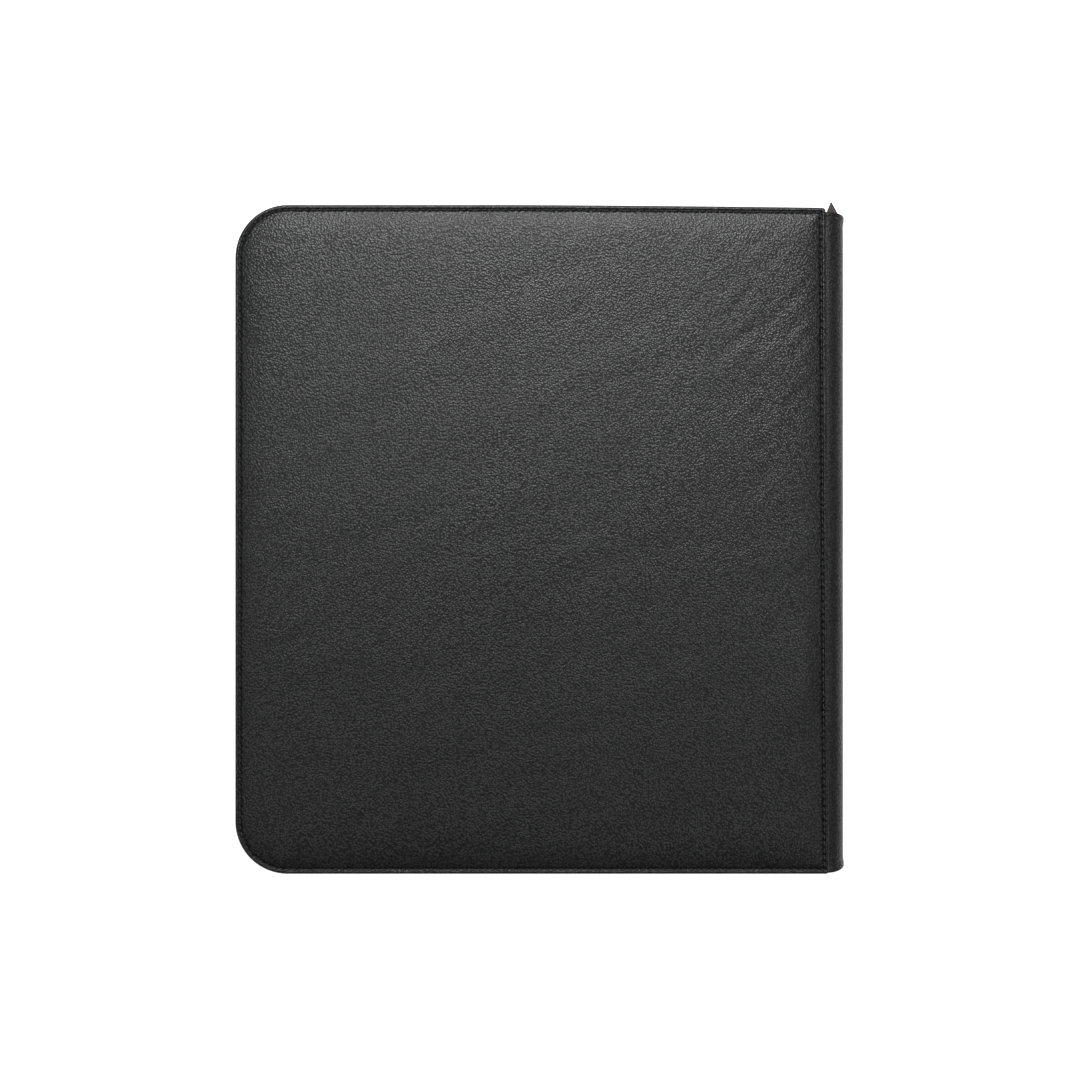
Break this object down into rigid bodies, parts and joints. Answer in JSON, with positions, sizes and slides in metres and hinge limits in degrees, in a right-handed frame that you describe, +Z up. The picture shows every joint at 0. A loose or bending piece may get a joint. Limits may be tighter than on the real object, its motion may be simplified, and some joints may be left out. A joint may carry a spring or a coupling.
{
  "type": "trading card binder",
  "caption": "Padded black leatherette album that zips shut round three sides, with clear side-opening card pockets on leaves fixed to its spine.",
  "frame": {"origin": "on the table plane under the plan centre of the shut binder, on the outer face of the front cover that it rests on", "axes": "+X towards the spine, +Y towards the top edge, +Z up through the thickness to the back cover"},
  "size_m": [0.3346, 0.3703, 0.042],
  "materials": {
    "leatherette": "black pebble-grained leatherette, soft low sheen",
    "padding_foam": "thin black foam padding",
    "stiff_board": "grey-brown pressed board",
    "lining_cloth": "black woven lining",
    "thread": "black polyester sewing thread",
    "zip_tape_cloth": "black herringbone zip tape",
    "zip_teeth": "black nylon zip coil",
    "zip_metal": "black enamelled zinc",
    "end_tab_cloth": "taupe folded tape end",
    "binding_cloth": "black cloth binding",
    "pocket_film": "black polypropylene sheet with clear pockets"
  },
  "bodies": {
    "front_cover": {"front_cover_skin": "leatherette", "front_cover_foam": "padding_foam", "front_cover_board": "stiff_board", "front_cover_lining": "lining_cloth", "front_cover_stitching": "thread", "front_zip_tape": "zip_tape_cloth", "front_zip_coil": "zip_teeth", "front_zip_stops": "zip_metal", "front_hinge_fold": "leatherette"},
    "back_cover": {"back_cover_skin": "leatherette", "back_cover_foam": "padding_foam", "back_cover_board": "stiff_board", "back_cover_lining": "lining_cloth", "back_cover_stitching": "thread", "back_zip_tape": "zip_tape_cloth", "back_zip_coil": "zip_teeth", "back_zip_stops": "zip_metal", "back_hinge_fold": "leatherette"},
    "spine": {"spine_skin": "leatherette", "spine_board": "stiff_board", "spine_lining": "lining_cloth", "spine_stitching": "thread", "page_binding_core": "binding_cloth", "zip_end_tab_top": "end_tab_cloth", "zip_end_tab_bottom": "end_tab_cloth"},
    "zip_slider": {"zip_slider_body": "zip_metal", "zip_slider_bail": "zip_metal"},
    "zip_pull": {"zip_pull": "zip_metal"},
    "leaf_01": {"leaf_01": "pocket_film"},
    "leaf_02": {"leaf_02": "pocket_film"},
    "leaf_03": {"leaf_03": "pocket_film"},
    "leaf_04": {"leaf_04": "pocket_film"},
    "leaf_05": {"leaf_05": "pocket_film"},
    "leaf_06": {"leaf_06": "pocket_film"},
    "leaf_07": {"leaf_07": "pocket_film"},
    "leaf_08": {"leaf_08": "pocket_film"},
    "leaf_09": {"leaf_09": "pocket_film"},
    "leaf_10": {"leaf_10": "pocket_film"},
    "leaf_11": {"leaf_11": "pocket_film"},
    "leaf_12": {"leaf_12": "pocket_film"},
    "leaf_13": {"leaf_13": "pocket_film"},
    "leaf_14": {"leaf_14": "pocket_film"},
    "leaf_15": {"leaf_15": "pocket_film"},
    "leaf_16": {"leaf_16": "pocket_film"},
    "leaf_17": {"leaf_17": "pocket_film"},
    "leaf_18": {"leaf_18": "pocket_film"},
    "leaf_19": {"leaf_19": "pocket_film"},
    "leaf_20": {"leaf_20": "pocket_film"}
  },
  "joints": [
    {"name": "spine_fold", "type": "hinge", "parent": "front_cover", "child": "spine", "pos_m": [0.16457, 0, 0.00493], "axis": [0, 1, 0], "range_deg": [0, 90], "deforming": ["front_hinge_fold"]},
    {"name": "back_cover_fold", "type": "hinge", "parent": "spine", "child": "back_cover", "pos_m": [0.16457, 0, 0.03707], "axis": [0, 1, 0], "range_deg": [0, 90], "deforming": ["back_hinge_fold"]},
    {"name": "zip_slide", "type": "slide", "parent": "front_cover", "child": "zip_slider", "axis": [-1, 0, 0], "range_m": [0, 0.25]},
    {"name": "zip_pull_turn", "type": "hinge", "parent": "zip_slider", "child": "zip_pull", "pos_m": [0.14, 0.1813, 0.021], "axis": [0, 0, -1], "range_deg": [0, 150]},
    {"name": "leaf_01_turn", "type": "hinge", "parent": "spine", "child": "leaf_01", "pos_m": [0.1605, 0, 0.00628], "axis": [0, 1, 0], "range_deg": [-90, 0]},
    {"name": "leaf_02_turn", "type": "hinge", "parent": "spine", "child": "leaf_02", "pos_m": [0.15895, 0, 0.00783], "axis": [0, 1, 0], "range_deg": [-90, 0]},
    {"name": "leaf_03_turn", "type": "hinge", "parent": "spine", "child": "leaf_03", "pos_m": [0.1574, 0, 0.00937], "axis": [0, 1, 0], "range_deg": [-90, 0]},
    {"name": "leaf_04_turn", "type": "hinge", "parent": "spine", "child": "leaf_04", "pos_m": [0.15585, 0, 0.01093], "axis": [0, 1, 0], "range_deg": [-90, 0]},
    {"name": "leaf_05_turn", "type": "hinge", "parent": "spine", "child": "leaf_05", "pos_m": [0.1543, 0, 0.01247], "axis": [0, 1, 0], "range_deg": [-90, 0]},
    {"name": "leaf_06_turn", "type": "hinge", "parent": "spine", "child": "leaf_06", "pos_m": [0.15275, 0, 0.01402], "axis": [0, 1, 0], "range_deg": [-90, 0]},
    {"name": "leaf_07_turn", "type": "hinge", "parent": "spine", "child": "leaf_07", "pos_m": [0.1512, 0, 0.01558], "axis": [0, 1, 0], "range_deg": [-90, 0]},
    {"name": "leaf_08_turn", "type": "hinge", "parent": "spine", "child": "leaf_08", "pos_m": [0.14965, 0, 0.01713], "axis": [0, 1, 0], "range_deg": [-90, 0]},
    {"name": "leaf_09_turn", "type": "hinge", "parent": "spine", "child": "leaf_09", "pos_m": [0.1481, 0, 0.01868], "axis": [0, 1, 0], "range_deg": [-90, 0]},
    {"name": "leaf_10_turn", "type": "hinge", "parent": "spine", "child": "leaf_10", "pos_m": [0.14655, 0, 0.02022], "axis": [0, 1, 0], "range_deg": [-90, 0]},
    {"name": "leaf_11_turn", "type": "hinge", "parent": "spine", "child": "leaf_11", "pos_m": [0.14655, 0, 0.02177], "axis": [0, 1, 0], "range_deg": [0, 90]},
    {"name": "leaf_12_turn", "type": "hinge", "parent": "spine", "child": "leaf_12", "pos_m": [0.1481, 0, 0.02332], "axis": [0, 1, 0], "range_deg": [0, 90]},
    {"name": "leaf_13_turn", "type": "hinge", "parent": "spine", "child": "leaf_13", "pos_m": [0.14965, 0, 0.02488], "axis": [0, 1, 0], "range_deg": [0, 90]},
    {"name": "leaf_14_turn", "type": "hinge", "parent": "spine", "child": "leaf_14", "pos_m": [0.1512, 0, 0.02643], "axis": [0, 1, 0], "range_deg": [0, 90]},
    {"name": "leaf_15_turn", "type": "hinge", "parent": "spine", "child": "leaf_15", "pos_m": [0.15275, 0, 0.02797], "axis": [0, 1, 0], "range_deg": [0, 90]},
    {"name": "leaf_16_turn", "type": "hinge", "parent": "spine", "child": "leaf_16", "pos_m": [0.1543, 0, 0.02952], "axis": [0, 1, 0], "range_deg": [0, 90]},
    {"name": "leaf_17_turn", "type": "hinge", "parent": "spine", "child": "leaf_17", "pos_m": [0.15585, 0, 0.03107], "axis": [0, 1, 0], "range_deg": [0, 90]},
    {"name": "leaf_18_turn", "type": "hinge", "parent": "spine", "child": "leaf_18", "pos_m": [0.1574, 0, 0.03263], "axis": [0, 1, 0], "range_deg": [0, 90]},
    {"name": "leaf_19_turn", "type": "hinge", "parent": "spine", "child": "leaf_19", "pos_m": [0.15895, 0, 0.03417], "axis": [0, 1, 0], "range_deg": [0, 90]},
    {"name": "leaf_20_turn", "type": "hinge", "parent": "spine", "child": "leaf_20", "pos_m": [0.1605, 0, 0.03572], "axis": [0, 1, 0], "range_deg": [0, 90]}
  ],
  "couplings": [
    {"joint": "leaf_01_turn", "follows": "spine_fold", "ratio": -1},
    {"joint": "leaf_02_turn", "follows": "spine_fold", "ratio": -1},
    {"joint": "leaf_03_turn", "follows": "spine_fold", "ratio": -1},
    {"joint": "leaf_04_turn", "follows": "spine_fold", "ratio": -1},
    {"joint": "leaf_05_turn", "follows": "spine_fold", "ratio": -1},
    {"joint": "leaf_06_turn", "follows": "spine_fold", "ratio": -1},
    {"joint": "leaf_07_turn", "follows": "spine_fold", "ratio": -1},
    {"joint": "leaf_08_turn", "follows": "spine_fold", "ratio": -1},
    {"joint": "leaf_09_turn", "follows": "spine_fold", "ratio": -1},
    {"joint": "leaf_10_turn", "follows": "spine_fold", "ratio": -1},
    {"joint": "leaf_11_turn", "follows": "back_cover_fold", "ratio": 1},
    {"joint": "leaf_12_turn", "follows": "back_cover_fold", "ratio": 1},
    {"joint": "leaf_13_turn", "follows": "back_cover_fold", "ratio": 1},
    {"joint": "leaf_14_turn", "follows": "back_cover_fold", "ratio": 1},
    {"joint": "leaf_15_turn", "follows": "back_cover_fold", "ratio": 1},
    {"joint": "leaf_16_turn", "follows": "back_cover_fold", "ratio": 1},
    {"joint": "leaf_17_turn", "follows": "back_cover_fold", "ratio": 1},
    {"joint": "leaf_18_turn", "follows": "back_cover_fold", "ratio": 1},
    {"joint": "leaf_19_turn", "follows": "back_cover_fold", "ratio": 1},
    {"joint": "leaf_20_turn", "follows": "back_cover_fold", "ratio": 1}
  ]
}
